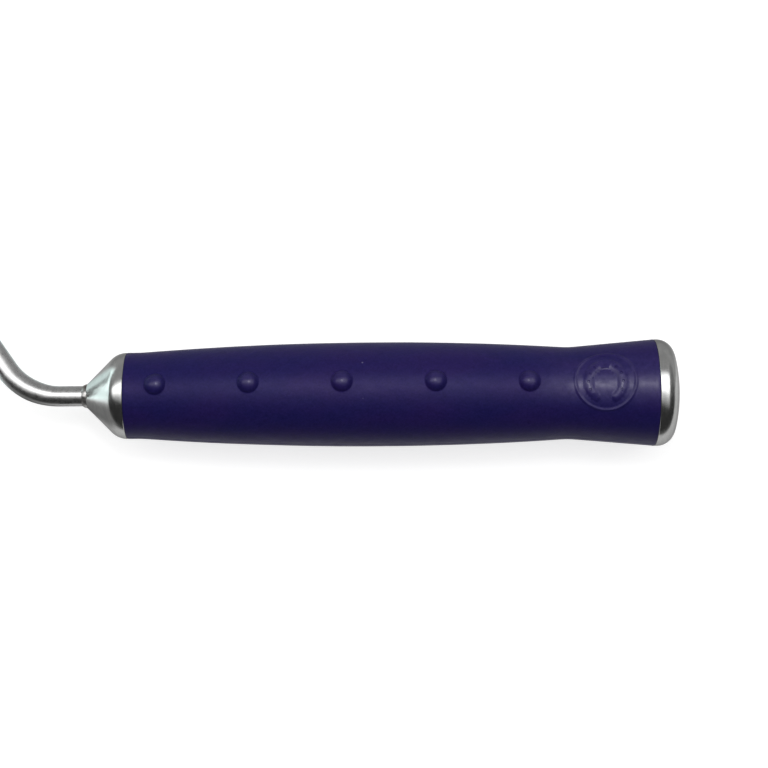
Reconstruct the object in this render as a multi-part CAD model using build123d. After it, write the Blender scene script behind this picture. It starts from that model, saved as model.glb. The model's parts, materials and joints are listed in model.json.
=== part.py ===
from build123d import *

# Hoof pick: a bent steel rod with a forged blade, set into a steel-ended handle with a rubber grip.
#
# The pieces are made in a tool frame: the handle's axis is X, with X = 0 at the tip of the front
# ferrule and +X towards the rear cap, and the hook's plane is XY, with the crown of the hook on +Y.
# The finished tool is then rolled about X and lifted, so that it lies on a level surface as it does
# when it is put down: on the crown of the hook and on the studs under the grip. The origin is the
# centre of the base of the tool's box.

import os
from math import asin, atan2, cos, degrees, hypot, radians, sin, sqrt, tan

# ---- driving dimensions, in millimetres and degrees ----

# rod and hook
neck_radius = 2.8  # of the rod in the ferrule and in front of it
neck_length = 7.3  # straight rod in front of the ferrule
neck_bend_radius = 18.2  # of the rod's centreline
neck_bend_angle = 54.5
swell_angle = 30.0  # of the neck bend, over which the rod grows from the neck to the hook
hook_radius = 3.05  # of the rod in the hook
crown_height = 46.5  # of the rod's centreline, from the handle's axis
crown_radius = 22.0
blade_lean = 8.0  # how far the blade points back towards the handle

# blade
blade_length = 38.0
blade_width = 9.6
blade_thickness = 2.4
forge_length = 16.0  # over which the round rod turns into the flat blade
forge_steps = 4
taper_start = 21.5  # from the top of the blade
tip_width = 5.4
tip_corner = 1.8
edge_thickness = 0.7  # left at the cutting edge
bevel_length = 6.0

# weld between the rod and the ferrule
weld_toe = 1.0  # along the rod
weld_climb = 0.5  # up the ferrule's cone
weld_bulge = 0.12

# front ferrule
ferrule_nose_wall = 0.2  # around the rod, at the tip
ferrule_cone_angle = 45.0
ferrule_shoulder_radius = 5.9

# tube inside the grip, and the spigots of ferrule and cap that fit it
tube_radius = 9.0
tube_wall = 1.0
spigot_length = 14.0
spigot_chamfer = 0.6
cap_spigot_wall = 2.6
slip_fit = 0.05  # radial clearance

# lock pins: slotted spring pins across the tube
pin_radius = 1.5
pin_wall = 0.4
pin_slot = 0.6

# grip, with its stations measured from its front edge
grip_length = 144.6
grip_front_radius = 11.85
grip_land = 4.2
belly_station = 69.0
belly_radius = 14.3
waist_station = 120.8
waist_radius = 12.6
waist_blend_radius = 25.0
grip_rear_radius = 14.65
grip_edge_radius = 0.35

# studs: a row of raised domes on the grip's +Z side and one on its -Z side
stud_count = 5
stud_first_station = 8.8
stud_pitch = 25.2
stud_base_radius = 2.95
stud_height = 1.6

# badge: a raised ring around a plain horseshoe, on the grip's +Z side
badge_station = 130.0
badge_radius = 8.4
badge_ring = 0.55
badge_relief = 0.3
shoe_radius = 5.9
shoe_band = 2.3
shoe_leg = 3.4

# rear cap
cap_land = 0.7
cap_corner_radius = 4.7
cap_crown_radius = 44.0
cap_face_radius = 6.5

# ---- sizes that follow from them ----

cone = radians(ferrule_cone_angle)
ferrule_nose_radius = neck_radius + ferrule_nose_wall
cone_end_radius = grip_front_radius - ferrule_shoulder_radius * (1 - cos(cone))
cone_length = (cone_end_radius - ferrule_nose_radius) / tan(cone)
ferrule_length = cone_length + ferrule_shoulder_radius * sin(cone)

spigot_radius = tube_radius - tube_wall - slip_fit
tang_bore_radius = neck_radius + slip_fit
grip_start = ferrule_length
grip_end = grip_start + grip_length
tang_end = grip_start + spigot_length
front_pin_x = grip_start + spigot_length / 2
rear_pin_x = grip_end - spigot_length / 2
quarter_turn = radians(90)


def arc_radius(run, rise):
    """Radius of the arc that leaves a level line and falls by rise over run."""
    return (run**2 + rise**2) / (2 * rise)


front_arc_radius = arc_radius(belly_station - grip_land, belly_radius - grip_front_radius)
rear_arc_radius = arc_radius(waist_station - belly_station, belly_radius - waist_radius)
stud_sphere_radius = arc_radius(stud_base_radius, stud_height)
stud_stations = [stud_first_station + stud_pitch * n for n in range(stud_count)]


def grip_radius(station):
    """Radius of the grip's outside at a station, with the studs, badge and small blends left out."""
    if station <= grip_land:
        return grip_front_radius
    if station <= waist_station:
        bend = front_arc_radius if station < belly_station else rear_arc_radius
        return belly_radius - bend + sqrt(bend**2 - (station - belly_station) ** 2)
    share = (station - waist_station) / (grip_length - waist_station)
    return waist_radius + share * (grip_rear_radius - waist_radius)


def stud_centre_radius(station):
    """Distance from the handle's axis to the centre of a stud's sphere."""
    return grip_radius(station) + stud_height - stud_sphere_radius


def resting_roll():
    """Roll, in degrees, that brings the crown of the hook as low as the lowest stud."""
    reach = max(stud_centre_radius(station) for station in stud_stations)
    depth_gap = stud_sphere_radius - hook_radius
    return degrees(atan2(reach, crown_height) + asin(depth_gap / hypot(crown_height, reach)))


# ---- shared shapes ----


def turned(edges):
    """The solid that a closed half section above the handle's axis sweeps around it."""
    return revolve(make_face(edges), Axis.X)


def axial_cylinder(start_x, end_x, radius):
    """A cylinder on the handle's axis."""
    base_at_start = (Align.CENTER, Align.CENTER, Align.MIN)
    return Pos(start_x, 0, 0) * Rot(0, 90, 0) * Cylinder(radius, end_x - start_x, align=base_at_start)


def pin_hole(x):
    """The hole for a lock pin, across the handle in the hook's plane."""
    return Pos(x, 0, 0) * Rot(90, 0, 0) * Cylinder(pin_radius, 3 * tube_radius)


# ---- hook ----


def hook_paths():
    """The rod's centreline past the neck: where the rod swells, and from there to the blade's top."""
    bend = radians(neck_bend_angle)
    bends_rise = (neck_bend_radius + crown_radius) * (1 - cos(bend))
    riser_length = (crown_height - bends_rise) / sin(bend)
    swell = JernArc((-neck_length, 0), (-1, 0), neck_bend_radius, -swell_angle)
    bend_end = JernArc(swell @ 1, swell % 1, neck_bend_radius, swell_angle - neck_bend_angle)
    riser = Line(bend_end @ 1, bend_end @ 1 + (bend_end % 1) * riser_length)
    crown = JernArc(riser @ 1, riser % 1, crown_radius, neck_bend_angle + 90 + blade_lean)
    return swell, Wire([bend_end.edge(), riser.edge(), crown.edge()])


def rod_section(path, place, radius):
    """The rod's round section at one end of a path: place is 0 at its start and 1 at its end."""
    return Plane(path @ place, x_dir=(0, 0, 1), z_dir=path % place) * Circle(radius)


def blade_bar(top, heading):
    """The blade before it is cut to shape: the rod is drawn out from round to a flat oval bar."""
    sections = []
    for step in range(forge_steps + 1):
        share = step / forge_steps
        eased = share**2 * (3 - 2 * share)
        half_width = hook_radius + eased * (blade_width / 2 - hook_radius)
        half_thickness = hook_radius + eased * (blade_thickness / 2 - hook_radius)
        plane = Plane(top + heading * (share * forge_length), x_dir=(0, 0, 1), z_dir=heading)
        sections.append(plane * Ellipse(half_width, half_thickness))
    return loft(sections) + extrude(sections[-1], blade_length - forge_length)


def blade_outline():
    """The blade seen square on, with X along it: it narrows to a tip with rounded corners."""
    side = blade_width
    outline = make_face(
        Polyline(
            (0, side),
            (taper_start, side),
            (taper_start, blade_width / 2),
            (blade_length, tip_width / 2),
            (blade_length, -tip_width / 2),
            (taper_start, -blade_width / 2),
            (taper_start, -side),
            (0, -side),
            close=True,
        )
    )
    tip_corners = outline.vertices().group_by(Axis.X)[-1]
    return fillet(tip_corners, tip_corner)


def blade_bevel():
    """Section of what is ground away at the tip, on the side that faces the handle, X along it."""
    start = blade_length - bevel_length
    face = blade_thickness / 2
    slope = (blade_thickness - edge_thickness) / bevel_length
    beyond = blade_length + bevel_length
    return make_face(
        Polyline(
            (start, face),
            (beyond, face - slope * (beyond - start)),
            (beyond, face + blade_thickness),
            (start, face + blade_thickness),
            close=True,
        )
    )


def hook_shank():
    swell, path = hook_paths()
    swell_sections = [rod_section(swell, 0, neck_radius), rod_section(swell, 1, hook_radius)]
    rod = axial_cylinder(-neck_length, tang_end, neck_radius)
    rod += sweep(swell_sections, path=swell, multisection=True)
    rod += sweep(rod_section(path, 0, hook_radius), path=path)
    top = path @ 1
    heading = path % 1
    square_on = Plane(top, x_dir=heading, z_dir=heading.cross(Vector(0, 0, 1)))
    edge_on = Plane(top, x_dir=heading, z_dir=(0, 0, 1))
    blade = blade_bar(top, heading) & extrude(square_on * blade_outline(), 2 * hook_radius, both=True)
    blade -= extrude(edge_on * blade_bevel(), blade_width, both=True)
    return rod + blade - pin_hole(front_pin_x)


def neck_weld():
    """The small weld bead around the rod, at the tip of the ferrule."""
    toe = (-weld_toe, neck_radius)
    crest = (weld_climb * cos(cone), ferrule_nose_radius + weld_climb * sin(cone))
    bead = SagittaArc(toe, crest, weld_bulge)
    inside = Polyline(crest, (0, ferrule_nose_radius), (0, neck_radius), toe)
    return turned([bead.edge(), *inside.edges()])


# ---- handle ----


def front_ferrule():
    """A cone with a rounded shoulder, bored for the rod, with a spigot inside the tube."""
    shoulder_centre = (ferrule_length, grip_front_radius - ferrule_shoulder_radius)

    def on_shoulder(angle):
        """A point of the shoulder's arc, with the angle measured from the ferrule's rear edge."""
        return (
            shoulder_centre[0] - ferrule_shoulder_radius * sin(angle),
            shoulder_centre[1] + ferrule_shoulder_radius * cos(angle),
        )

    shoulder = ThreePointArc(on_shoulder(cone), on_shoulder(cone / 2), on_shoulder(0))
    spigot_end = ferrule_length + spigot_length
    rest = Polyline(
        on_shoulder(0),
        (ferrule_length, spigot_radius),
        (spigot_end - spigot_chamfer, spigot_radius),
        (spigot_end, spigot_radius - spigot_chamfer),
        (spigot_end, tang_bore_radius),
        (0, tang_bore_radius),
        (0, ferrule_nose_radius),
        on_shoulder(cone),
    )
    return turned([shoulder.edge(), *rest.edges()]) - pin_hole(front_pin_x)


def core_tube():
    tube = axial_cylinder(grip_start, grip_end, tube_radius)
    tube -= axial_cylinder(grip_start, grip_end, tube_radius - tube_wall)
    return tube - pin_hole(front_pin_x) - pin_hole(rear_pin_x)


def lock_pin(x):
    """A slotted spring pin, its ends flush with the outside of the tube."""
    length = 2 * tube_radius
    roll = Cylinder(pin_radius, length) - Cylinder(pin_radius - pin_wall, length)
    roll -= Pos(pin_radius, 0, 0) * Box(2 * pin_radius, pin_slot, length)
    around = axial_cylinder(x - 2 * pin_radius, x + 2 * pin_radius, tube_radius)
    return (Pos(x, 0, 0) * Rot(90, 0, 0) * roll) & around


def grip_sleeve(proud=0.0):
    """The grip from the tube out, without its studs, and with its outside moved out by proud."""

    def outside(station, radius):
        return (grip_start + station, radius + proud)

    def on_barrel(station):
        return outside(station, grip_radius(station))

    land = Line(on_barrel(0), on_barrel(grip_land))
    front = ThreePointArc(
        on_barrel(grip_land), on_barrel((grip_land + belly_station) / 2), on_barrel(belly_station)
    )
    rear = ThreePointArc(
        on_barrel(belly_station), on_barrel((belly_station + waist_station) / 2), on_barrel(waist_station)
    )
    flare = Line(on_barrel(waist_station), on_barrel(grip_length))
    inside = Polyline(
        on_barrel(grip_length), (grip_end, tube_radius), (grip_start, tube_radius), on_barrel(0)
    )
    section = make_face([land.edge(), front.edge(), rear.edge(), flare.edge(), *inside.edges()])
    waist = section.vertices().sort_by_distance(Vector(*on_barrel(waist_station)))[0]
    return revolve(fillet(waist, waist_blend_radius), Axis.X)


def stud(station, side):
    """One raised dome, on the grip's +Z side when side is 1 and on its -Z side when it is -1."""
    return Pos(grip_start + station, 0, side * stud_centre_radius(station)) * Sphere(stud_sphere_radius)


def badge():
    """The raised ring and the horseshoe in it, whose open end points away from the hook's crown."""
    ring = Circle(badge_radius) - Circle(badge_radius - badge_ring)
    hollow = shoe_radius - shoe_band
    shoe = Circle(shoe_radius) + Pos(0, -shoe_leg / 2) * Rectangle(2 * shoe_radius, shoe_leg)
    shoe -= Circle(hollow) + Pos(0, -shoe_radius) * Rectangle(2 * hollow, 2 * shoe_radius)
    shoe &= Pos(0, -shoe_leg + shoe_radius) * Rectangle(2 * shoe_radius, 2 * shoe_radius)
    stamp = extrude(Pos(grip_start + badge_station, 0, 0) * (ring + shoe), 2 * grip_rear_radius)
    return stamp & grip_sleeve(badge_relief)


def rubber_grip():
    sleeve = grip_sleeve()
    ends = sleeve.edges().filter_by(GeomType.CIRCLE).group_by(Axis.X)
    lips = [max(ring, key=lambda edge: edge.radius) for ring in (ends[0], ends[-1])]
    grip = fillet(lips, grip_edge_radius)
    for side in (1, -1):
        for station in stud_stations:
            grip += stud(station, side)
    grip += badge()
    return grip - axial_cylinder(grip_start, grip_end, tube_radius)


def rear_cap():
    """A cap with a large rounded corner, a slightly crowned end with a flat middle, and a spigot."""
    corner_x = grip_end + cap_land
    corner_r = grip_rear_radius - cap_corner_radius
    reach = cap_crown_radius - cap_corner_radius
    meet = asin(corner_r / reach)
    face = asin(cap_face_radius / cap_crown_radius)
    crown_x = corner_x - reach * cos(meet)

    def on_corner(angle):
        return (corner_x + cap_corner_radius * cos(angle), corner_r + cap_corner_radius * sin(angle))

    def on_crown(angle):
        return (crown_x + cap_crown_radius * cos(angle), cap_crown_radius * sin(angle))

    corner = ThreePointArc(
        on_corner(quarter_turn), on_corner((quarter_turn + meet) / 2), on_corner(meet)
    )
    crown = ThreePointArc(on_corner(meet), on_crown((meet + face) / 2), on_crown(face))
    hollow_radius = spigot_radius - cap_spigot_wall
    spigot_front = grip_end - spigot_length
    rest = Polyline(
        on_crown(face),
        (on_crown(face)[0], 0),
        (grip_end, 0),
        (grip_end, hollow_radius),
        (spigot_front, hollow_radius),
        (spigot_front, spigot_radius - spigot_chamfer),
        (spigot_front + spigot_chamfer, spigot_radius),
        (grip_end, spigot_radius),
        (grip_end, grip_rear_radius),
        on_corner(quarter_turn),
    )
    return turned([corner.edge(), crown.edge(), *rest.edges()]) - pin_hole(rear_pin_x)


# ---- the whole tool, laid down ----

pieces = {
    "hook_shank": hook_shank(),
    "neck_weld": neck_weld(),
    "front_ferrule": front_ferrule(),
    "front_lock_pin": lock_pin(front_pin_x),
    "core_tube": core_tube(),
    "rubber_grip": rubber_grip(),
    "rear_lock_pin": lock_pin(rear_pin_x),
    "rear_cap": rear_cap(),
}
roll = Rot(-resting_roll(), 0, 0)
box = (roll * pieces["hook_shank"]).bounding_box()
for piece in pieces.values():
    box = box.add((roll * piece).bounding_box())
lay_down = Pos(-box.center().X, -box.center().Y, -box.min.Z) * roll

os.makedirs("parts", exist_ok=True)
for name, piece in pieces.items():
    export_step(lay_down * piece, f"parts/{name}.step")

print("roll", round(resting_roll(), 3), "overall size", box.size)
print("tip of the ferrule", lay_down.position)
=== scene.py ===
"""Looks of the hoof pick: pieces, materials, light and camera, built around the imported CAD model."""

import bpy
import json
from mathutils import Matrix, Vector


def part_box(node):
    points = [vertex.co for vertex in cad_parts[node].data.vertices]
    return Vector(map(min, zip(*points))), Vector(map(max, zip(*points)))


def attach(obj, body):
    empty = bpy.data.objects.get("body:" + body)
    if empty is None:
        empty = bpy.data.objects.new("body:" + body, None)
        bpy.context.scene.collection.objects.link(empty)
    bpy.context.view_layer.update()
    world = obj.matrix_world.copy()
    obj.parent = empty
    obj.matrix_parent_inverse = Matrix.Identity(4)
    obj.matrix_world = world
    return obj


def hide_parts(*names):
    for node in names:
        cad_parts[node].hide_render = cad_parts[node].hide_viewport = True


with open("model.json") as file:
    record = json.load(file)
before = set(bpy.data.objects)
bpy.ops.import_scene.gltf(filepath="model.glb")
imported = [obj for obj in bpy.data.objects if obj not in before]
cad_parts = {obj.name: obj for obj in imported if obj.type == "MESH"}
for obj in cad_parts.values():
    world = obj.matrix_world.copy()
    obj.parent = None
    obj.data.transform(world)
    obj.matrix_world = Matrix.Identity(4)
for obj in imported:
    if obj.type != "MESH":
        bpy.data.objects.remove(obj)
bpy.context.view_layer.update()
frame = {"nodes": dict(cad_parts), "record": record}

import json
from math import asin, atan2, cos, hypot, pi, radians, sin, sqrt

import bmesh
import bpy
import numpy as np
from mathutils import Matrix, Vector, noise
from mathutils.geometry import delaunay_2d_cdt

# ---- sizes, in millimetres and degrees, as the CAD model has them ----

MM = 0.001

NECK_RADIUS = 2.8
NECK_LENGTH = 7.3
NECK_BEND_RADIUS = 18.2
NECK_BEND_ANGLE = 54.5
SWELL_ANGLE = 30.0
HOOK_RADIUS = 3.04  # a hair under the CAD solid, whose mesh has chords
CROWN_HEIGHT = 46.5
CROWN_RADIUS = 22.0
BLADE_LEAN = 8.0
BLADE_LENGTH = 38.0
BLADE_WIDTH = 9.6
BLADE_THICKNESS = 2.4
FORGE_LENGTH = 16.0
TAPER_START = 21.5
TIP_WIDTH = 5.4
TIP_CORNER = 1.8
EDGE_THICKNESS = 0.7
BEVEL_LENGTH = 6.0

NOSE_RADIUS = 3.0
CONE_ANGLE = 45.0
SHOULDER_RADIUS = 5.9
WELD_TOE = 1.0
WELD_CLIMB = 0.5

TUBE_RADIUS = 9.0
SPIGOT_RADIUS = 7.95
SPIGOT_LENGTH = 14.0
SPIGOT_CHAMFER = 0.6
SPIGOT_WALL = 2.6
BORE_RADIUS = 2.85
PIN_RADIUS = 1.5

FRONT_RADIUS = 11.85
LAND = 4.2
BELLY_STATION = 69.0
BELLY_RADIUS = 14.3
WAIST_STATION = 120.8
WAIST_RADIUS = 12.6
REAR_RADIUS = 14.65
LIP_RADIUS = 0.35

STUD_COUNT = 5
STUD_FIRST = 8.8
STUD_PITCH = 25.2
STUD_BASE = 2.95
STUD_HEIGHT = 1.598

BADGE_STATION = 130.0
BADGE_RADIUS = 8.4
BADGE_RING = 0.55
BADGE_RELIEF = 0.3
SHOE_RADIUS = 4.6  # of the horseshoe's middle line
SHOE_STRETCH = 1.12
SHOE_REACH = 144.0  # degrees that it runs back from its toe, each way
SHOE_TOE_WIDTH = 2.5
SHOE_HEEL_WIDTH = 1.8
SHOE_DROP = 0.4  # of its middle below the badge's middle

CAP_LAND = 0.7
CAP_CORNER = 4.7
CAP_CROWN = 44.0
CAP_FACE = 6.5

# ---- where the tool lies ----

tube_low, tube_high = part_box("core_tube")
ferrule_low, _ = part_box("front_ferrule")
grip_low, grip_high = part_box("rubber_grip")
crook = next(mount for mount in frame["record"]["mounts"] if mount["name"] == "crook")

axis_y = (tube_low[1] + tube_high[1]) / 2
axis_z = (tube_low[2] + tube_high[2]) / 2
nose_x = ferrule_low[0]
roll = atan2(crook["axis"][1], crook["axis"][2])
TOOL = Matrix.Translation((nose_x, axis_y, axis_z)) @ Matrix.Rotation(-roll, 4, "X")
GRIP_START = (grip_low[0] - nose_x) / MM
GRIP_END = (grip_high[0] - nose_x) / MM
GRIP_LENGTH = GRIP_END - GRIP_START
FRONT_PIN_X = GRIP_START + SPIGOT_LENGTH / 2
REAR_PIN_X = GRIP_END - SPIGOT_LENGTH / 2


# ---- mesh helpers; every mesh is made in the tool's frame, in millimetres, with +X along the handle ----


SHARP_ANGLE = 32.0  # degrees; steeper edges are shaded as edges
TURNED_AROUND = 192  # points round a turned piece
PIN_HOLE_SIDES = 48


def add_piece(name, points, faces, sharp_angle=SHARP_ANGLE, coords=None):
    """A mesh object, laid where the tool lies. coords, if given, are stored for the material to read."""
    mesh = bpy.data.meshes.new(name)
    mesh.from_pydata([tuple(TOOL @ (Vector(p) * MM)) for p in points], [], faces)
    if coords is not None:
        layer = mesh.attributes.new("flow", "FLOAT_VECTOR", "POINT")
        layer.data.foreach_set("vector", np.asarray(coords, dtype=np.float32).ravel())
    mesh.validate()
    tidy = bmesh.new()
    tidy.from_mesh(mesh)
    bmesh.ops.recalc_face_normals(tidy, faces=tidy.faces)
    tidy.to_mesh(mesh)
    tidy.free()
    mesh.polygons.foreach_set("use_smooth", [True] * len(mesh.polygons))
    mesh.set_sharp_from_angle(angle=radians(sharp_angle))
    piece = bpy.data.objects.new(name, mesh)
    bpy.context.collection.objects.link(piece)
    return piece


def ring_faces(rings, around, closed=False):
    """Quads between neighbouring rings of points, each with the same number of points around."""
    faces = []
    last = rings if closed else rings - 1
    for ring in range(last):
        for step in range(around):
            a = ring * around + step
            b = ring * around + (step + 1) % around
            c = ((ring + 1) % rings) * around + (step + 1) % around
            d = ((ring + 1) % rings) * around + step
            faces.append((a, b, c, d))
    return faces


def turned_piece(name, outline, around=TURNED_AROUND, wobble=None):
    """A solid of revolution from a closed half section of (x, r) points, none of them on the axis."""
    points = []
    for x, r in outline:
        for step in range(around):
            angle = 2 * pi * step / around
            reach = r + (wobble(x, r, angle) if wobble else 0.0)
            points.append((x, reach * sin(angle), reach * cos(angle)))
    return add_piece(name, points, ring_faces(len(outline), around, closed=True))


def arc_points(centre, radius, start, end, count):
    """Points of an arc in the (x, r) plane, between two angles in radians."""
    cx, cr = centre
    angles = [start + (end - start) * n / count for n in range(count + 1)]
    return [(cx + radius * cos(angle), cr + radius * sin(angle)) for angle in angles]


def divided(points, step):
    """The same outline with its long straight runs divided, so that shading stays even."""
    result = []
    for (x0, r0), (x1, r1) in zip(points, points[1:] + points[:1]):
        parts = max(1, int(hypot(x1 - x0, r1 - r0) / step))
        result += [(x0 + (x1 - x0) * n / parts, r0 + (r1 - r0) * n / parts) for n in range(parts)]
    return result


def drill(piece, x):
    """Cuts a lock pin's hole across a piece, in the hook's plane."""
    size = {"radius": PIN_RADIUS * MM, "depth": 3 * TUBE_RADIUS * MM}
    bpy.ops.mesh.primitive_cylinder_add(vertices=PIN_HOLE_SIDES, **size)
    cutter = bpy.context.active_object
    cutter.matrix_world = TOOL @ Matrix.Translation((x * MM, 0, 0)) @ Matrix.Rotation(pi / 2, 4, "X")
    cut = piece.modifiers.new("pin_hole", "BOOLEAN")
    cut.operation = "DIFFERENCE"
    cut.solver = "EXACT"
    cut.object = cutter
    bpy.context.view_layer.objects.active = piece
    bpy.ops.object.modifier_apply(modifier=cut.name)
    bpy.data.objects.remove(cutter)
    piece.data.set_sharp_from_angle(angle=radians(SHARP_ANGLE))


def smooth_step(value):
    """An S-shaped rise from 0 to 1, as value goes from 0 to 1."""
    value = np.clip(value, 0.0, 1.0)
    return value * value * (3 - 2 * value)


# ---- hook ----


RING_STEPS = {"neck": 1.2, "bend": 0.5, "riser": 0.8}  # between rings of points along the rod


def moved(point, heading, distance, radius):
    """The point and heading after a distance, straight on (radius 0) or round a turn of that radius."""
    if not radius:
        return point + distance * np.array([cos(heading), sin(heading)]), heading
    centre = point + radius * np.array([-sin(heading), cos(heading)])
    turned = heading + distance / radius
    return centre - radius * np.array([-sin(turned), cos(turned)]), turned


def hook_stations():
    """Points along the rod's centreline with their headings, and how far each is along it."""
    bend = radians(NECK_BEND_ANGLE)
    bends_rise = (NECK_BEND_RADIUS + CROWN_RADIUS) * (1 - cos(bend))
    riser = (CROWN_HEIGHT - bends_rise) / sin(bend)
    tang_end = GRIP_START + SPIGOT_LENGTH
    turn_back = bend + radians(90 + BLADE_LEAN)
    # each run: its length, the radius of its turn, and the step between its rings
    runs = [
        (tang_end + NECK_LENGTH, 0.0, RING_STEPS["neck"]),
        (NECK_BEND_RADIUS * bend, -NECK_BEND_RADIUS, RING_STEPS["bend"]),
        (riser, 0.0, RING_STEPS["riser"]),
        (CROWN_RADIUS * turn_back, CROWN_RADIUS, RING_STEPS["bend"]),
    ]
    point = np.array([tang_end, 0.0])
    heading = pi
    along = 0.0
    stations = []
    for length, radius, step in runs:
        count = max(2, int(length / step))
        for n in range(count):
            distance = length * n / count
            stations.append((*moved(point, heading, distance, radius), along + distance))
        point, heading = moved(point, heading, length, radius)
        along += length
    return stations, point, heading, along


def rod_radius(along):
    """Radius of the rod at a distance from its end inside the ferrule: it swells in the neck bend."""
    past_neck = along - (GRIP_START + SPIGOT_LENGTH + NECK_LENGTH)
    share = past_neck / (NECK_BEND_RADIUS * radians(SWELL_ANGLE))
    return NECK_RADIUS + float(smooth_step(share)) * (HOOK_RADIUS - NECK_RADIUS)


ROUND_POWER = 2.0  # of a section's outline: 2 is an ellipse, and more is squarer
SQUARER = 1.6  # how much the blade's power is over that


def blade_section(d):
    """Half width, thickness towards the inside and the outside, and squareness, at d down the blade."""
    share = min(1.0, d / FORGE_LENGTH)
    eased = share * share * (3 - 2 * share)
    half_width = HOOK_RADIUS + eased * (BLADE_WIDTH / 2 - HOOK_RADIUS)
    half_thick = HOOK_RADIUS + eased * (BLADE_THICKNESS / 2 - HOOK_RADIUS)
    square = ROUND_POWER + SQUARER * eased
    if d > TAPER_START:
        taper = (d - TAPER_START) / (BLADE_LENGTH - TAPER_START)
        half_width = BLADE_WIDTH / 2 + taper * (TIP_WIDTH - BLADE_WIDTH) / 2
    into_corner = d - (BLADE_LENGTH - TIP_CORNER)
    if into_corner > 0:
        half_width -= TIP_CORNER - sqrt(max(0.0, TIP_CORNER**2 - into_corner**2))
    inside = half_thick
    bevel = d - (BLADE_LENGTH - BEVEL_LENGTH)
    if bevel > 0:
        inside -= (BLADE_THICKNESS - EDGE_THICKNESS) * bevel / BEVEL_LENGTH
    return half_width, inside, half_thick, square


HOOK_AROUND = 72  # points round the rod
BLADE_STEP = 0.5  # between rings down the blade
BEVEL_CREASE = 0.06  # half width of the ground bevel's edge
CORNER_STEP = 6  # degrees between rings round the tip's corners
FORGED_START, FORGED_RUN = 2.0, 6.0  # where the forged surface starts, from the blade's top
DENT_DEPTH, DENT_SINK = 0.05, 0.03  # of the hammered surface, and how far it lies below the rod's
DENT_SCALE, DENT_SCALE_ACROSS = 0.35, 0.5  # dents to the millimetre
THINNEST_REACH = 0.8  # so that thin places aren't dented through
HOOK_SHARP_ANGLE = 40.0


def blade_stations():
    """Distances down the blade at which it gets a ring of points."""
    bevel_start = BLADE_LENGTH - BEVEL_LENGTH
    corner_start = BLADE_LENGTH - TIP_CORNER
    downs = [n * BLADE_STEP for n in range(int(BLADE_LENGTH / BLADE_STEP))]
    downs += [bevel_start - BEVEL_CREASE, bevel_start, bevel_start + BEVEL_CREASE]
    downs = sorted(d for d in downs if d < corner_start)
    return downs + [corner_start + TIP_CORNER * sin(radians(angle)) for angle in range(0, 91, CORNER_STEP)]


def make_hook():
    """The round rod with its bends, and the flat forged blade that it runs into."""
    stations, top, heading, along = hook_stations()
    sections = [(spot, angle, a, (*[rod_radius(a)] * 3, ROUND_POWER)) for spot, angle, a in stations]
    direction = np.array([cos(heading), sin(heading)])
    for d in blade_stations():
        sections.append((top + direction * d, heading, along + d, blade_section(d)))
    points, coords = [], []
    for spot, angle, a, (half_width, inside, outside, square) in sections:
        # the inside of the hook is on the left of the heading
        left = np.array([-sin(angle), cos(angle)])
        forged = smooth_step((a - along - FORGED_START) / FORGED_RUN)
        for step in range(HOOK_AROUND):
            turn = 2 * pi * step / HOOK_AROUND
            c, s = cos(turn), sin(turn)
            w = half_width * abs(s) ** (2 / square) * (1 if s >= 0 else -1)
            t = (inside if c >= 0 else outside) * abs(c) ** (2 / square) * (1 if c >= 0 else -1)
            x, y = spot + left * t
            lumps = noise.noise((x * DENT_SCALE, y * DENT_SCALE, w * DENT_SCALE_ACROSS))
            dent = DENT_DEPTH * forged * lumps - DENT_SINK * forged
            shrink = 1 + dent / max(THINNEST_REACH, hypot(t, w))
            x, y = spot + left * t * shrink
            points.append((x, y, w * shrink))
            coords.append((a, turn * HOOK_RADIUS, forged))
    faces = ring_faces(len(sections), HOOK_AROUND)
    faces.append(tuple(range(HOOK_AROUND)))
    last_ring = range((len(sections) - 1) * HOOK_AROUND, len(sections) * HOOK_AROUND)
    faces.append(tuple(last_ring)[::-1])
    hook = add_piece("hook", points, faces, sharp_angle=HOOK_SHARP_ANGLE, coords=coords)
    drill(hook, FRONT_PIN_X)
    return hook


BEAD_AROUND = 240  # points round the weld bead
BEAD_STEPS = 12  # and across it
BEAD_BULGE = (-0.08, 0.1)  # how far its middle stands out from a straight line, along x and r
RIPPLES = 15  # round the rod
RIPPLE_SWEEP = 2.2  # how far a ripple lags behind at the middle of the bead, in radians
RIPPLE_SWAY = 0.5
RIPPLE_HEIGHT = 0.045
LUMP_HEIGHT, LUMP_SCALE = 0.05, 2.1


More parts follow.
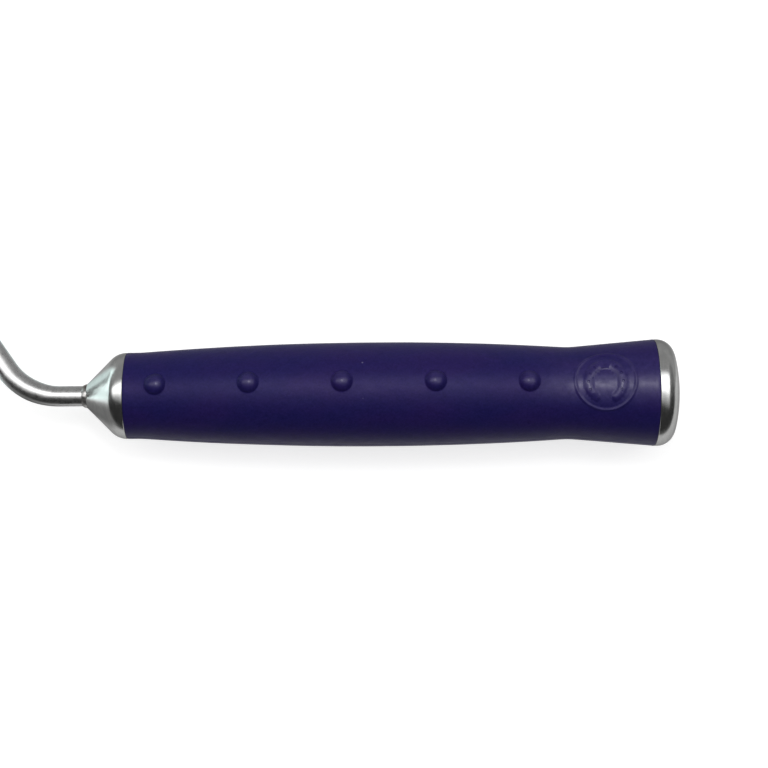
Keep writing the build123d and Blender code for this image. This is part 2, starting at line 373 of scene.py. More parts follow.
def make_weld():
    """The weld bead round the rod, where the rod enters the ferrule."""
    cone = radians(CONE_ANGLE)
    toe = (-WELD_TOE, NECK_RADIUS)
    crest = (WELD_CLIMB * cos(cone), NOSE_RADIUS + WELD_CLIMB * sin(cone))
    middle = ((toe[0] + crest[0]) / 2 + BEAD_BULGE[0], (toe[1] + crest[1]) / 2 + BEAD_BULGE[1])
    bead = []
    for n in range(BEAD_STEPS + 1):
        t = n / BEAD_STEPS
        weights = ((1 - t) ** 2, 2 * t * (1 - t), t * t)
        corners = (toe, middle, crest)
        bead.append(tuple(sum(w * p[axis] for w, p in zip(weights, corners)) for axis in (0, 1)))
    outline = bead + [(0.0, NOSE_RADIUS), (0.0, NECK_RADIUS)]

    def ripple(x, r, angle):
        """Overlapping ripples round the bead, which fade out at its edges and on its hidden side."""
        across = (x - toe[0]) / (crest[0] - toe[0])
        in_the_nose = r <= NOSE_RADIUS - 0.01 and x >= 0
        if not 0.0 < across < 1.0 or in_the_nose:
            return 0.0
        phase = angle * RIPPLES + RIPPLE_SWEEP * sin(pi * across) + RIPPLE_SWAY * sin(angle * 3)
        lump = LUMP_HEIGHT * noise.noise((cos(angle) * LUMP_SCALE, sin(angle) * LUMP_SCALE, 0.3))
        return sin(pi * across) * (RIPPLE_HEIGHT * abs(sin(phase / 2)) + lump)

    return turned_piece("neck_weld_bead", outline, BEAD_AROUND, ripple)


# ---- handle metal ----


NOSE_CHAMFER = 0.06
EDGE_CHAMFER = 0.1  # where ferrule and cap meet the grip
FERRULE_STEP, CAP_STEP = 0.5, 0.6  # between rings on straight runs
SHOULDER_PARTS, CORNER_PARTS, CROWN_PARTS = 22, 26, 8  # of their arcs
SHOULDER_LEFT = 0.02  # how far from level the shoulder's arc ends, in radians


def make_ferrule():
    """The turned cone with its rounded shoulder, and the spigot inside the tube."""
    cone = radians(CONE_ANGLE)
    centre = (GRIP_START, FRONT_RADIUS - SHOULDER_RADIUS)
    shoulder = arc_points(centre, SHOULDER_RADIUS, pi / 2 + cone, pi / 2 + SHOULDER_LEFT, SHOULDER_PARTS)
    end = GRIP_START + SPIGOT_LENGTH
    outline = [
        (NOSE_CHAMFER, NOSE_RADIUS - NOSE_CHAMFER),
        (NOSE_CHAMFER / 3, NOSE_RADIUS + NOSE_CHAMFER / 3),
        *shoulder,
        (GRIP_START, FRONT_RADIUS - EDGE_CHAMFER),
        (GRIP_START, SPIGOT_RADIUS),
        (end - SPIGOT_CHAMFER, SPIGOT_RADIUS),
        (end, SPIGOT_RADIUS - SPIGOT_CHAMFER),
        (end, BORE_RADIUS),
        (NOSE_CHAMFER, BORE_RADIUS),
    ]
    ferrule = turned_piece("front_ferrule_cone", divided(outline, FERRULE_STEP))
    drill(ferrule, FRONT_PIN_X)
    return ferrule


def make_cap():
    """The turned end cap with its rounded corner, and its hollow spigot."""
    corner_x = GRIP_END + CAP_LAND
    corner_r = REAR_RADIUS - CAP_CORNER
    reach = CAP_CROWN - CAP_CORNER
    meet = asin(corner_r / reach)
    face = asin(CAP_FACE / CAP_CROWN)
    crown_x = corner_x - reach * cos(meet)
    front = GRIP_END - SPIGOT_LENGTH
    hollow = SPIGOT_RADIUS - SPIGOT_WALL
    pinch = 0.02  # radius of the tiny rings that close the ends on the axis
    face_x = crown_x + CAP_CROWN * cos(face)
    outline = [
        (GRIP_END, REAR_RADIUS - EDGE_CHAMFER),
        (GRIP_END + EDGE_CHAMFER, REAR_RADIUS),
        *arc_points((corner_x, corner_r), CAP_CORNER, pi / 2, meet, CORNER_PARTS),
        *arc_points((crown_x, 0), CAP_CROWN, meet, face, CROWN_PARTS)[1:],
        (face_x, pinch),
        (GRIP_END, pinch),
        (GRIP_END, hollow),
        (front, hollow),
        (front, SPIGOT_RADIUS - SPIGOT_CHAMFER),
        (front + SPIGOT_CHAMFER, SPIGOT_RADIUS),
        (GRIP_END, SPIGOT_RADIUS),
    ]
    cap = turned_piece("rear_cap_turned", divided(outline, CAP_STEP))
    drill(cap, REAR_PIN_X)
    return cap


# ---- grip ----


def fall_radius(run, rise):
    """Radius of the arc that leaves a level line and falls by rise over run."""
    return (run**2 + rise**2) / (2 * rise)


FRONT_ARC = fall_radius(BELLY_STATION - LAND, BELLY_RADIUS - FRONT_RADIUS)
REAR_ARC = fall_radius(WAIST_STATION - BELLY_STATION, BELLY_RADIUS - WAIST_RADIUS)


def barrel_radius(station):
    """Radius of the grip's outside, with its corners still sharp."""
    s = np.asarray(station, dtype=float)
    arc = np.where(s < BELLY_STATION, FRONT_ARC, REAR_ARC)
    barrel = BELLY_RADIUS - arc + np.sqrt(arc**2 - (s - BELLY_STATION) ** 2)
    flare = WAIST_RADIUS + (s - WAIST_STATION) / (GRIP_LENGTH - WAIST_STATION) * (REAR_RADIUS - WAIST_RADIUS)
    return np.where(s <= LAND, FRONT_RADIUS, np.where(s <= WAIST_STATION, barrel, flare))


BLEND_REACH = 1.9
BLEND_SAMPLES = 9
BLEND_FREE_END, BLEND_FADE = 1.0, 4.0  # no blending this near an end, and how far it takes to begin


def grip_radius(station):
    """The same with its land and its waist blended in, as a moving average over a short reach."""
    s = np.asarray(station, dtype=float)
    rises = smooth_step((s - BLEND_FREE_END) / BLEND_FADE)
    falls = smooth_step((GRIP_LENGTH - BLEND_FREE_END - s) / BLEND_FADE)
    reach = BLEND_REACH * rises * falls
    shifts = np.linspace(-1, 1, BLEND_SAMPLES)
    return sum(barrel_radius(s + reach * shift) for shift in shifts) / len(shifts)


STUD_SPHERE = fall_radius(STUD_BASE, STUD_HEIGHT)
STUD_FILLET = 0.16


def stud_profile(d):
    """Height of a stud at distance d from its middle: a dome with a tiny fillet at its foot."""
    start = STUD_BASE - STUD_FILLET
    dome = np.sqrt(np.maximum(STUD_SPHERE**2 - np.minimum(d, start) ** 2, 0)) - STUD_SPHERE + STUD_HEIGHT
    foot = dome * (1 - np.clip((d - start) / (2 * STUD_FILLET), 0, 1)) ** 2
    return np.where(d <= start, dome, foot)


SHOE_POINTS = 90


def shoe_line():
    """The horseshoe's middle line about the badge's middle, toe towards +Y, with its half width."""
    angles = np.radians(np.linspace(-SHOE_REACH, SHOE_REACH, SHOE_POINTS))
    x = SHOE_RADIUS * np.sin(angles)
    y = SHOE_RADIUS * SHOE_STRETCH * np.cos(angles) - SHOE_DROP
    share = np.abs(angles) / np.radians(SHOE_REACH)
    half = SHOE_TOE_WIDTH / 2 + (SHOE_HEEL_WIDTH - SHOE_TOE_WIDTH) / 2 * share
    return np.stack([x, y], 1), half


SHOE_LINE, SHOE_HALF = shoe_line()
NAIL_TURNS = (40, 65, 90, 115)  # degrees from the toe, on each branch


def nail_places():
    """The middle of each nail hole, on the horseshoe's middle line."""
    turns = [radians(turn) * side for side in (-1, 1) for turn in NAIL_TURNS]
    return [(SHOE_RADIUS * sin(a), SHOE_RADIUS * SHOE_STRETCH * cos(a) - SHOE_DROP) for a in turns]


NAILS = nail_places()
NAIL_RADIUS = 0.34
NAIL_DEPTH = 0.2
NAIL_WALL = 0.14  # width of a nail hole's sloping edge
WALL = 0.28  # width of the badge's sloping edges


def badge_height(x, y):
    """Height of the badge at a place about its middle."""
    d = np.hypot(x, y)
    ring = np.abs(d - (BADGE_RADIUS - BADGE_RING / 2)) - BADGE_RING / 2
    offsets = np.stack([x, y], 1)[:, None, :] - SHOE_LINE[None, :, :]
    shoe = (np.hypot(offsets[..., 0], offsets[..., 1]) - SHOE_HALF[None, :]).min(1)
    high = BADGE_RELIEF * smooth_step(0.5 - np.minimum(ring, shoe) / WALL)
    for nx, ny in NAILS:
        nail = np.hypot(x - nx, y - ny)
        high = high - NAIL_DEPTH * smooth_step((NAIL_RADIUS - nail) / NAIL_WALL + 0.5) * (shoe < 0)
    return high


def offset_outline(middle, half):
    """Closed outline at half the band's width each side of a middle line, with round ends."""
    along = np.gradient(middle, axis=0)
    along /= np.hypot(along[:, 0], along[:, 1])[:, None]
    side = np.stack([-along[:, 1], along[:, 0]], 1)
    left = middle + side * half[:, None]
    right = middle - side * half[:, None]

    def end(index, sign):
        """The points of the half circle that closes one end."""
        turns = np.radians(np.arange(15, 180, 15))
        return [
            middle[index] + half[index] * (side[index] * cos(t) * sign + along[index] * sin(t) * sign)
            for t in turns
        ]

    return [*left, *end(-1, 1), *right[::-1], *end(0, -1)]


def circle_points(radius, count, phase=0.0):
    """Points evenly spaced on a circle, turned by phase of a step."""
    turns = [2 * pi * (n + phase) / count for n in range(count)]
    return [(radius * cos(turn), radius * sin(turn)) for turn in turns]


REF = 14.0  # radius at which the unrolled grip is laid out
HALF_TURN = pi * REF
PART_LINE = 0.16  # half width of the mould's parting ridge
PART_HEIGHT = 0.05
STUD_STATIONS = [STUD_FIRST + STUD_PITCH * n for n in range(STUD_COUNT)]
GRIP_COLUMNS, GRIP_ROWS = 172, 110  # of the plain points along the grip and round it
STUD_CLEAR, BADGE_CLEAR = 0.75, 0.7  # no plain points this close to a stud or to the badge
RIDGE_CLEAR = (0.02, 0.5)  # nor between these distances from a parting ridge
DOME_RINGS = (0.14, 0.28, 0.42, 0.55, 0.67, 0.78, 0.87, 0.94, 1.0)  # parts of a stud's radius
FOOT_RINGS = (0.33, 0.66, 1.0)  # parts of the fillet at its foot
FOOT_POINTS, APRON_POINTS = 56, 44
WALL_POINTS, PLAIN_POINTS = 150, 110  # round the badge's ring, on its walls and beside them
NAIL_RINGS = ((NAIL_RADIUS + NAIL_WALL / 2, 16), (NAIL_RADIUS - NAIL_WALL / 2, 14), (0.12, 6))
BADGE_GRID = np.arange(-7.0, 7.01, 0.7)  # of the plain points inside the badge
BADGE_FIELD = 7.0  # radius of the place they fill
SHOE_CLEAR, NAIL_CLEAR = 0.3, 0.25  # and none of them this close to the horseshoe's edge or a nail's
STUD_APRON = 0.5  # a ring of points this far outside a stud
RING_APRONS = (0.45, 0.5)  # and outside and inside the badge's ring


def unrolled_grip():
    """Points and feature lines of the grip's outside, laid flat: x is the station, y runs round it."""
    low, high = -HALF_TURN / 2, 1.5 * HALF_TURN
    ss = np.linspace(0, GRIP_LENGTH, GRIP_COLUMNS)
    ts = np.linspace(low, high, GRIP_ROWS + 1)
    points, edges = [], []
    holes = [(s, t, STUD_BASE + STUD_CLEAR) for s in STUD_STATIONS for t in (0.0, HALF_TURN)]
    holes.append((BADGE_STATION, 0.0, BADGE_RADIUS + BADGE_CLEAR))

    def scale(station):
        """How much wider the unrolled sheet is than the grip there."""
        return REF / float(grip_radius(station))

    def add_loop(loop, station, turn):
        """A closed feature line about a middle."""
        k = scale(station)
        start = len(points)
        points.extend((station + x, turn + y * k) for x, y in loop)
        count = len(loop)
        edges.extend((start + n, start + (n + 1) % count) for n in range(count))

    for t in ts:
        for s in ss:
            k = scale(s)
            clear = all(hypot(s - hs, (t - ht) / k) > reach for hs, ht, reach in holes)
            gaps = [abs(t - ridge) for ridge in (low, high, HALF_TURN / 2)]
            near_ridge = any(RIDGE_CLEAR[0] < gap < RIDGE_CLEAR[1] for gap in gaps)
            if clear and not near_ridge:
                points.append((s, t))
    far = HALF_TURN / 2
    for ridge in (low + PART_LINE, far - PART_LINE, far, far + PART_LINE, high - PART_LINE):
        start = len(points)
        points.extend((s, ridge) for s in ss)
        edges.extend((start + n, start + n + 1) for n in range(GRIP_COLUMNS - 1))
    for station in STUD_STATIONS:
        for turn in (0.0, HALF_TURN):
            points.append((station, turn))
            inner = STUD_BASE - STUD_FILLET
            for n, share in enumerate(DOME_RINGS):
                add_loop(circle_points(inner * share, 12 + 5 * n, n * 0.5), station, turn)
            for gap in FOOT_RINGS:
                ring = circle_points(inner + 2 * STUD_FILLET * gap, FOOT_POINTS, gap)
                add_loop(ring, station, turn)
            add_loop(circle_points(STUD_BASE + STUD_APRON, APRON_POINTS), station, turn)
    ring_inside = BADGE_RADIUS - BADGE_RING
    for edge in (BADGE_RADIUS, ring_inside):
        for shift in (WALL / 2, -WALL / 2):
            add_loop(circle_points(edge + shift, WALL_POINTS), BADGE_STATION, 0.0)
    outside, inside = RING_APRONS
    for radius in (BADGE_RADIUS + outside, BADGE_RADIUS - BADGE_RING / 2, ring_inside - inside):
        add_loop(circle_points(radius, PLAIN_POINTS, 0.5), BADGE_STATION, 0.0)
    for shift in (WALL / 2, -WALL / 2):
        add_loop(offset_outline(SHOE_LINE, SHOE_HALF + shift), BADGE_STATION, 0.0)
    for nail in NAILS:
        for radius, count in NAIL_RINGS:
            loop = [(nail[0] + x, nail[1] + y) for x, y in circle_points(radius, count)]
            add_loop(loop, BADGE_STATION, 0.0)
    # plain points inside the badge, kept clear of the lines above
    k = scale(BADGE_STATION)
    for x in BADGE_GRID:
        for y in BADGE_GRID:
            offset = SHOE_LINE - (x, y)
            gap = np.abs(np.hypot(offset[:, 0], offset[:, 1]) - SHOE_HALF).min()
            to_nail = min(hypot(x - nx, y - ny) for nx, ny in NAILS)
            clear = gap > SHOE_CLEAR and to_nail >= NAIL_RADIUS + NAIL_CLEAR
            if clear and hypot(x, y) < BADGE_FIELD:
                points.append((BADGE_STATION + x, y * k))
    return points, edges


UNEVEN = 0.035  # how far the moulding is out of round
UNEVEN_SCALES = ((0.05, 1.6, 1.0), (0.16, 5.0, 0.4))  # along the grip, round it, and how strong
UNEVEN_FADE = 3.0
LIP_TILTS = (0.25, 0.5, 0.75, 1.0)  # parts of a quarter turn, from the outside to the end face
TIP_FROM, TIP_RUN = 0.55, 0.4  # parts of a stud's height over which its tip is worn and carries a painted highlight
HANDLED_HIGHLIT_FROM, HANDLED_HIGHLIT_RUN = 106.0, 20.0  # stations over which the flare is worn and carries a painted highlight
HANDLED_HIGHLIT_TURN, HANDLED_HIGHLIT_TURN_RUN = 0.80, 0.18  # the same round it, as cosines from the badge
WEAR_AND_HIGHLIGHT_SHARES = (0.9, 0.7, 0.3)  # of the studs' tips, the flare and the badge
GRIP_SHARP_ANGLE = 50.0
JOINED = 2e-6  # points of the unrolled edges that are this close, in metres, become one


def outside_of_grip(station, turn):
    """Distance from the handle's axis of each point of the grip's outside, and how worn it is, which also
    sets where the rubber's colour carries a painted highlight.
    """
    angle = turn / REF
    domes = np.zeros_like(station)
    for middle in STUD_STATIONS:
        for row in (0.0, HALF_TURN):
            k = float(grip_radius(middle)) / REF
            domes += stud_profile(np.hypot(station - middle, (turn - row) * k))
    k = float(grip_radius(BADGE_STATION)) / REF
    near = np.hypot(station - BADGE_STATION, turn * k) < BADGE_RADIUS + 1
    raised = np.zeros_like(station)
    raised[near] = badge_height((station - BADGE_STATION)[near], (turn * k)[near])
    reach = grip_radius(station) + domes + raised
    for ridge in (-HALF_TURN / 2, HALF_TURN / 2, 1.5 * HALF_TURN):
        reach += PART_HEIGHT * np.clip(1 - np.abs(turn - ridge) / PART_LINE, 0, 1)

    def lumps(s, a):
        """Unevenness of the moulding at a station and an angle."""
        return sum(
            strong * noise.noise((s * slow, round_it * sin(a), round_it * cos(a)))
            for slow, round_it, strong in UNEVEN_SCALES
        )

    uneven = np.array([lumps(s, a) for s, a in zip(station, angle)])
    fade = smooth_step(station / UNEVEN_FADE) * smooth_step((GRIP_LENGTH - station) / UNEVEN_FADE)
    reach += UNEVEN * uneven * fade
    # hands have polished the tops of the studs, the badge and the flare's upper side; the same mask also
    # mixes a lighter violet into the rubber's colour there, a painted highlight
    tips = smooth_step((domes / STUD_HEIGHT - TIP_FROM) / TIP_RUN)
    handled_and_highlit = smooth_step((station - HANDLED_HIGHLIT_FROM) / HANDLED_HIGHLIT_RUN)
    handled_and_highlit = handled_and_highlit * smooth_step((np.cos(angle) - HANDLED_HIGHLIT_TURN) / HANDLED_HIGHLIT_TURN_RUN)
    on_tips, on_flare, on_badge = WEAR_AND_HIGHLIGHT_SHARES
    wear_and_highlight = np.clip(on_tips * tips + on_flare * handled_and_highlit + on_badge * raised / BADGE_RELIEF, 0, 1)
    return reach, wear_and_highlight


def make_grip():
    """The rubber sleeve with its studs, its badge and the bore for the tube."""
    points, edges = unrolled_grip()
    flat, _, triangles, *_ = delaunay_2d_cdt([Vector(p) for p in points], edges, [], 0, 1e-5)
    flat = np.array([tuple(p) for p in flat])
    station, turn = flat[:, 0], flat[:, 1]
    angle = turn / REF
    reach, wear_and_highlight = outside_of_grip(station, turn)
    xyz = np.stack([GRIP_START + station, reach * np.sin(angle), reach * np.cos(angle)], 1)
    verts = [tuple(v) for v in xyz]
    faces = [tuple(t) for t in triangles]
    coords = list(zip(station, turn, wear_and_highlight))

    def end_ring(target):
        """The points at one end of the outside, in order round it."""
        ids = np.where(np.abs(station - target) < 1e-4)[0]
        return list(ids[np.argsort(angle[ids])])

    def add_ring(ids, x, r):
        """A ring of points at x, one for each point of an end ring, at distance r from the axis."""
        ring = range(len(verts), len(verts) + len(ids))
        verts.extend((x, r * sin(angle[i]), r * cos(angle[i])) for i in ids)
        coords.extend((station[i], angle[i] * REF, wear_and_highlight[i]) for i in ids)
        return list(ring)

    def join(one, other):
        """Faces between two rings."""
        faces.extend((one[n], one[n + 1], other[n + 1], other[n]) for n in range(len(one) - 1))

    # rings that close the sleeve: round each lip, down the end face and along the bore
    bores = []
    ends = ((0.0, GRIP_START, FRONT_RADIUS, -1), (GRIP_LENGTH, GRIP_END, REAR_RADIUS, 1))
    for target, x_end, r_end, outward in ends:
        ids = end_ring(target)
        # the outermost ring is pulled back along the grip, so that the lip ends in its CAD plane
        for i in ids:
            verts[i] = (x_end - outward * LIP_RADIUS, *verts[i][1:])
        previous = ids
        for tilt in LIP_TILTS:
            fall = LIP_RADIUS * (1 - cos(tilt * pi / 2))
            back = outward * LIP_RADIUS * (1 - sin(tilt * pi / 2))
            ring = add_ring(ids, x_end - back, r_end - fall)
            join(previous, ring)
            previous = ring
        bore = add_ring(ids, x_end, TUBE_RADIUS)
        join(previous, bore)
        bores.append(bore)
    join(*bores)
    grip = add_piece("grip_sleeve", verts, faces, sharp_angle=GRIP_SHARP_ANGLE, coords=coords)
    weld = bmesh.new()
    weld.from_mesh(grip.data)
    bmesh.ops.remove_doubles(weld, verts=weld.verts, dist=JOINED)
    bmesh.ops.recalc_face_normals(weld, faces=weld.faces)
    weld.to_mesh(grip.data)
    weld.free()
    return grip


# ---- materials ----


class Nodes:
    """A small helper that adds nodes to one node tree and links them."""

    def __init__(self, tree):
        self.tree = tree

    def node(self, kind, inputs=None, **settings):
        """A new node with its settings, and with its inputs set or linked."""
        node = self.tree.nodes.new(kind)
        for key, value in settings.items():
            setattr(node, key, value)
        for key, value in (inputs or {}).items():
            self.put(node.inputs[key], value)
        return node

    def put(self, socket, value):
        """Links a node's output to a socket, or sets the socket to a value."""
        if isinstance(value, bpy.types.NodeSocket):
            self.tree.links.new(value, socket)
        else:
            socket.default_value = value

    def math(self, operation, a, b=0.0, c=0.0):
        """The result of an operation on up to three numbers or outputs."""
        return self.node("ShaderNodeMath", {0: a, 1: b, 2: c}, operation=operation).outputs[0]

    def ramp(self, value, *stops):
        """A colour ramp from stops of (place, colour), where a colour may be one grey number."""
        node = self.node("ShaderNodeValToRGB", {"Fac": value})
        for n, (place, colour) in enumerate(stops):
            elements = node.color_ramp.elements
            element = elements[n] if n < 2 else elements.new(place)
            element.position = place
            element.color = (*colour, 1) if isinstance(colour, tuple) else (colour, colour, colour, 1)
        return node.outputs["Color"]

    def between(self, value, low, high, at_low=0.0, at_high=1.0):
        """A smooth change from at_low to at_high, as value goes from low to high."""
        inputs = {"Value": value, "From Min": low, "From Max": high, "To Min": at_low, "To Max": at_high}
        return self.node("ShaderNodeMapRange", inputs, interpolation_type="SMOOTHSTEP").outputs["Result"]

    def blend(self, factor, a, b):
        """The number a where factor is 0 and b where it is 1."""
        return self.math("MULTIPLY_ADD", factor, self.math("SUBTRACT", b, a), a)


class Shader(Nodes):
    """The nodes of one material, with its Principled BSDF. Scales are features to the millimetre."""

    def __init__(self, name):
        self.material = bpy.data.materials.new(name)
        self.material.use_nodes = True
        super().__init__(self.material.node_tree)
        self.principled = self.tree.nodes["Principled BSDF"]

    def set(self, **inputs):
        """Sets the Principled BSDF's inputs, or links nodes to them."""
        for key, value in inputs.items():
            self.put(self.principled.inputs[key.replace("_", " ")], value)

    def coords(self, scale):
        """The piece's own coordinates, with scale features to the millimetre."""
        sizes = tuple(s / MM for s in scale)
        return self.node("ShaderNodeMapping", {"Vector": self.tool_place(), "Scale": sizes}).outputs[0]

    def tool_place(self):
        """The piece's own coordinates turned back into the tool's frame, with +X along the handle."""
        place = self.node("ShaderNodeTexCoord").outputs["Object"]
        lie = {"Vector": place, "Location": (nose_x, axis_y, axis_z), "Rotation": (-roll, 0, 0)}
        return self.node("ShaderNodeMapping", lie, vector_type="TEXTURE").outputs[0]

    def flow(self, scale):
        """The stored coordinates: along the piece and round it, in millimetres."""
        place = self.node("ShaderNodeAttribute", attribute_name="flow").outputs["Vector"]
        return self.node("ShaderNodeMapping", {"Vector": place, "Scale": scale}).outputs[0]

    def stored_share(self):
        """The third stored coordinate: how worn the rubber is, which also places its painted highlight, or
        how forged the rod.
        """
        place = self.node("ShaderNodeAttribute", attribute_name="flow").outputs["Vector"]
        return self.node("ShaderNodeSeparateXYZ", {"Vector": place}).outputs["Z"]

    def noise(self, place, detail=4.0, roughness=0.55):
        """Cloudy noise, mostly between 0.3 and 0.7."""
        inputs = {"Vector": place, "Scale": 1.0, "Detail": detail, "Roughness": roughness}
        return self.node("ShaderNodeTexNoise", inputs).outputs["Fac"]

    def bump(self, height, distance, strength=1.0, normal=None):
        """A normal that shows height, with distance in metres, on top of another normal."""
        inputs = {"Height": height, "Distance": distance, "Strength": strength}
        if normal is not None:
            inputs["Normal"] = normal
        return self.node("ShaderNodeBump", inputs).outputs[0]

    def mix(self, factor, a, b):
        """The colour a where factor is 0 and b where it is 1."""
        node = self.node("ShaderNodeMix", data_type="RGBA")
        self.put(node.inputs[0], factor)
        self.put(node.inputs[6], a if isinstance(a, bpy.types.NodeSocket) else (*a, 1))
        self.put(node.inputs[7], b if isinstance(b, bpy.types.NodeSocket) else (*b, 1))
        return node.outputs[2]


LINT = (0.15, 0.14, 0.24)
# a lighter violet mixed into the rubber where it is polished: a painted highlight, not the rubber's own
# colour
PAINTED_HIGHLIGHT_VIOLET = (0.050, 0.034, 0.150)
SHEEN_TINT = (0.62, 0.54, 1.0, 1)  # of what the rubber mirrors head on


def rubber():
    """Dark violet moulded rubber: matte grain, navy and violet patches, lint, and hand-polished places, whose
    colour is also mixed toward a lighter violet as a painted highlight.
    """
    s = Shader("violet_rubber")
    broad = s.noise(s.coords((0.05, 0.12, 0.12)), detail=4)
    mottle = s.noise(s.coords((0.6, 0.6, 0.6)), detail=5, roughness=0.6)
    fine = s.noise(s.coords((1.9, 1.9, 1.9)), detail=6, roughness=0.72)
    tone = s.ramp(broad, (0.38, (0.0058, 0.0072, 0.0600)), (0.62, (0.0165, 0.0072, 0.0640)))
    patches = s.ramp(mottle, (0.34, (0.0065, 0.0045, 0.046)), (0.66, (0.0150, 0.0100, 0.082)))
    grain = s.ramp(fine, (0.34, (0.0040, 0.0030, 0.036)), (0.66, (0.0180, 0.0120, 0.094)))
    colour = s.mix(0.40, s.mix(0.40, tone, patches), grain)
    cells = s.node("ShaderNodeTexVoronoi", {"Vector": s.coords((0.17, 0.17, 0.17)), "Scale": 1.0})
    near = s.ramp(cells.outputs["Distance"], (0.035, 1.0), (0.065, 0.0))
    pick = s.node("ShaderNodeSeparateColor", {"Color": cells.outputs["Color"]}).outputs["Red"]
    chosen = s.ramp(pick, (0.84, 0.0), (0.88, 1.0))
    speck = s.math("MULTIPLY", near, chosen)
    colour = s.mix(s.math("MULTIPLY", speck, 0.75), colour, LINT)
    rough = s.ramp(s.noise(s.coords((0.25, 0.5, 0.5)), detail=5), (0.3, 0.38), (0.7, 0.48))
    # the polish mask gives a glossier coat, and also mixes a lighter violet into the colour: a painted
    # highlight
    polish_and_highlight = s.math("MULTIPLY", s.stored_share(), s.ramp(mottle, (0.3, 0.30), (0.7, 0.72)))
    colour = s.mix(s.math("MULTIPLY", polish_and_highlight, 0.35), colour, PAINTED_HIGHLIGHT_VIOLET)
    normal = s.bump(mottle, 0.00018, 0.30)
    normal = s.bump(fine, 0.00008, 0.45, normal)
    s.set(Base_Color=colour, Roughness=rough, Normal=normal, IOR=1.38)
    s.set(Specular_IOR_Level=0.32, Specular_Tint=SHEEN_TINT)
    s.set(Coat_Weight=polish_and_highlight, Coat_Roughness=0.27, Coat_IOR=1.45)
    return s.material


EDGE_TINT = (0.52, 0.52, 0.52, 1)  # how steel mirrors at a glancing angle
RINGS_PER_METRE = 9000.0
CONE_SHARE = 0.73  # of the radius that counts as length, so that cone and end face get rings too


def turned_steel():
    """Polished turned stainless steel: rings of fine turning marks, faint scuffs and a few nicks."""
    s = Shader("turned_steel")
    x, y, z = s.node("ShaderNodeSeparateXYZ", {"Vector": s.tool_place()}).outputs
    radius = s.math("SQRT", s.math("ADD", s.math("MULTIPLY", y, y), s.math("MULTIPLY", z, z)))
    turn = s.math("ARCTAN2", y, z)
    across = s.math("ADD", x, s.math("MULTIPLY", radius, CONE_SHARE))
    ring = s.math("MULTIPLY", across, RINGS_PER_METRE)
    rings_at = s.node("ShaderNodeCombineXYZ", {"X": ring, "Y": s.math("MULTIPLY", turn, 1.2)})
    rings = s.noise(rings_at.outputs[0], detail=5, roughness=0.7)
    scuffs = s.noise(s.coords((0.9, 0.35, 0.35)), detail=8, roughness=0.72)
    fine = s.noise(s.coords((5.0, 5.0, 5.0)), detail=3)
    level = s.math("ADD", s.math("MULTIPLY", rings, 0.45), s.math("MULTIPLY", scuffs, 0.55))
    rough = s.ramp(level, (0.36, 0.11), (0.62, 0.24))
    colour = s.ramp(scuffs, (0.35, (0.56, 0.565, 0.56)), (0.7, (0.67, 0.67, 0.66)))
    normal = s.bump(rings, 0.00003, 0.30)
    normal = s.bump(fine, 0.00003, 0.22, normal)
    s.set(Base_Color=colour, Metallic=1.0, Roughness=rough, Normal=normal, Specular_Tint=EDGE_TINT)
    return s.material


def rod_steel():
    """Brushed stainless rod: lengthwise polishing marks, and a rougher, greyer forged and ground blade."""
    s = Shader("rod_steel")
    marks = s.noise(s.flow((0.55, 6.0, 1.0)), detail=6, roughness=0.65)
    mottle = s.noise(s.coords((0.5, 0.5, 0.5)), detail=6, roughness=0.6)
    grind = s.noise(s.flow((5.0, 0.35, 1.0)), detail=4, roughness=0.6)
    forged = s.stored_share()
    level = s.math("ADD", s.math("MULTIPLY", marks, 0.5), s.math("MULTIPLY", mottle, 0.5))
    rod_rough = s.ramp(level, (0.36, 0.22), (0.64, 0.38))
    blade_rough = s.ramp(mottle, (0.3, 0.34), (0.7, 0.5))
    rough = s.mix(forged, rod_rough, blade_rough)
    bright = s.ramp(mottle, (0.35, (0.54, 0.54, 0.54)), (0.7, (0.66, 0.66, 0.655)))
    dull = s.ramp(grind, (0.3, (0.40, 0.395, 0.385)), (0.7, (0.55, 0.545, 0.535)))
    colour = s.mix(s.math("MULTIPLY", forged, 0.8), bright, dull)
    normal = s.bump(marks, 0.00003, 0.25)
    normal = s.bump(s.math("MULTIPLY", grind, forged), 0.00005, 0.4, normal)
    s.set(Base_Color=colour, Metallic=1.0, Roughness=rough, Normal=normal, Specular_Tint=EDGE_TINT)
    return s.material


HEAT_MARK = (0.0012, 0.0030)  # where it begins and is full, towards the hook's crown, in metres


def weld_steel():
    """The weld bead: dull grey, with a dark brown heat mark on the side of the hook's crown."""
    s = Shader("weld_steel")
    tint = s.noise(s.coords((0.5, 0.35, 0.35)), detail=5)
    y = s.node("ShaderNodeSeparateXYZ", {"Vector": s.tool_place()}).outputs["Y"]
    marked = s.between(s.math("ADD", y, s.math("MULTIPLY", tint, 0.002)), *HEAT_MARK)
    grey = s.ramp(tint, (0.32, (0.44, 0.43, 0.42)), (0.7, (0.62, 0.61, 0.60)))
    brown = s.ramp(tint, (0.35, (0.08, 0.07, 0.065)), (0.7, (0.26, 0.22, 0.20)))
    colour = s.mix(marked, grey, brown)
    rough = s.ramp(s.noise(s.coords((2.0, 2.0, 2.0)), detail=4), (0.3, 0.24), (0.7, 0.42))
    s.set(Base_Color=colour, Metallic=1.0, Roughness=rough, Normal=s.bump(tint, 0.00004, 0.3))
    return s.material


